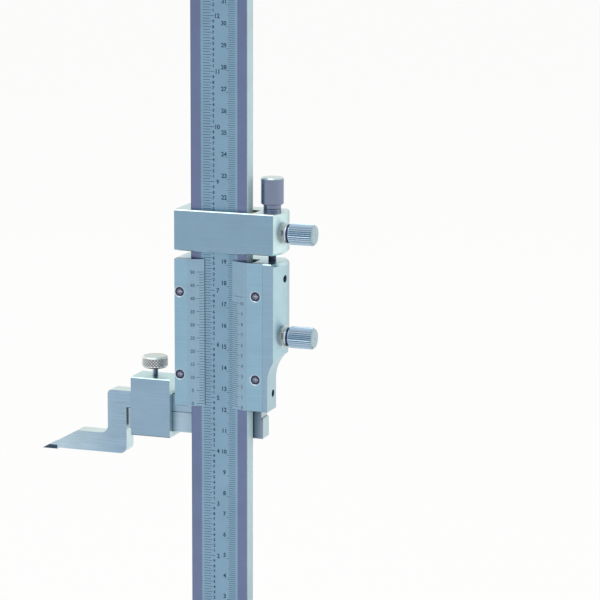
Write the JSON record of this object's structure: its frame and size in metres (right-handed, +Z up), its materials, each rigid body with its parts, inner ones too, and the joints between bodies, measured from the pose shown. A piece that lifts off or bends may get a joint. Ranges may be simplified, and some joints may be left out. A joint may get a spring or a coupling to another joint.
{
  "type": "vernier height gauge",
  "caption": "Vernier height gauge with a graduated beam on a heavy base, a sliding vernier head with fine adjustment, and an offset carbide-tipped scriber.",
  "frame": {"origin": "on the base's ground sole, under the middle of the beam's front face", "axes": "+X to the right as the scale is read, away from the scriber; +Y from the scale side to the back of the beam; +Z up along the beam"},
  "size_m": [0.1879, 0.078, 0.43],
  "materials": {
    "ground_steel": "satin-chromed, finely ground steel",
    "beam_steel": "hardened and polished steel with satin scale band",
    "base_steel": "hammered grey enamel above a ground sole",
    "black_screw": "dark blued steel",
    "knob_steel": "satin-chromed, fluted steel",
    "fine_knob": "dark polished steel",
    "polished_steel": "polished steel",
    "shoe_brass": "turned brass",
    "carbide": "ground tungsten carbide"
  },
  "bodies": {
    "base": {"base": "base_steel", "base_screws": "black_screw", "beam": "beam_steel", "beam_stop_screw": "polished_steel"},
    "carrier": {"fine_adjust_carrier": "ground_steel"},
    "carrier_shoe": {"carrier_brake_shoe": "shoe_brass"},
    "carrier_knob": {"carrier_clamp_stud": "polished_steel", "carrier_clamp_knob": "knob_steel"},
    "fine_screw": {"fine_adjust_screw": "black_screw", "fine_adjust_knob": "fine_knob", "fine_adjust_collar": "polished_steel"},
    "slider": {"slider_frame": "ground_steel", "inch_vernier_plate": "ground_steel", "metric_vernier_plate": "ground_steel", "vernier_screws": "black_screw", "slider_gib": "shoe_brass", "gib_screws": "black_screw", "jaw": "ground_steel", "jaw_screws": "black_screw", "jaw_dowels": "polished_steel"},
    "slider_shoe": {"slider_brake_shoe": "shoe_brass"},
    "slider_knob": {"slider_clamp_stud": "polished_steel", "slider_clamp_knob": "knob_steel"},
    "scriber_clamp": {"scriber_clamp": "ground_steel"},
    "pressure_pad": {"pressure_pad": "shoe_brass"},
    "thumbscrew": {"clamp_thumbscrew": "polished_steel"},
    "scriber": {"scriber": "ground_steel", "carbide_tip": "carbide"}
  },
  "joints": [
    {"name": "head_on_beam", "type": "slide", "parent": "base", "child": "carrier", "axis": [0, 0, 1], "range_m": [-0.121, 0.173]},
    {"name": "slider_fine_travel", "type": "slide", "parent": "carrier", "child": "slider", "axis": [0, 0, 1], "range_m": [-0.003, 0.003]},
    {"name": "fine_adjust_turn", "type": "hinge", "parent": "carrier", "child": "fine_screw", "pos_m": [0.023, 0.0084, 0.2457], "axis": [0, 0, 1], "range_deg": [-2161, 2161]},
    {"name": "carrier_shoe_lift", "type": "slide", "parent": "carrier", "child": "carrier_shoe", "axis": [1, 0, 0], "range_m": [0, 0.0005]},
    {"name": "carrier_clamp_turn", "type": "hinge", "parent": "carrier_shoe", "child": "carrier_knob", "pos_m": [0.0315, 0.0045, 0.23615], "axis": [1, 0, 0], "range_deg": [0, 361]},
    {"name": "slider_shoe_lift", "type": "slide", "parent": "slider", "child": "slider_shoe", "axis": [1, 0, 0], "range_m": [0, 0.0005]},
    {"name": "slider_clamp_turn", "type": "hinge", "parent": "slider_shoe", "child": "slider_knob", "pos_m": [0.0315, 0.0045, 0.18795], "axis": [1, 0, 0], "range_deg": [0, 361]},
    {"name": "clamp_along_jaw", "type": "slide", "parent": "slider", "child": "scriber_clamp", "axis": [1, 0, 0], "range_m": [-0.0025, 0.0025]},
    {"name": "pad_lift", "type": "slide", "parent": "scriber_clamp", "child": "pressure_pad", "axis": [0, 0, 1], "range_m": [0, 0.0015]},
    {"name": "thumbscrew_turn", "type": "hinge", "parent": "pressure_pad", "child": "thumbscrew", "pos_m": [-0.0371, 0.012, 0.165], "axis": [0, 0, 1], "range_deg": [0, 1081]},
    {"name": "scriber_in_clamp", "type": "slide", "parent": "slider", "child": "scriber", "axis": [1, 0, 0], "range_m": [-0.012, 0.001]}
  ],
  "couplings": [
    {"joint": "fine_adjust_turn", "follows": "slider_fine_travel", "rad_per_m": -12566},
    {"joint": "carrier_clamp_turn", "follows": "carrier_shoe_lift", "rad_per_m": 12566},
    {"joint": "slider_clamp_turn", "follows": "slider_shoe_lift", "rad_per_m": 12566},
    {"joint": "thumbscrew_turn", "follows": "pad_lift", "rad_per_m": 12566}
  ]
}
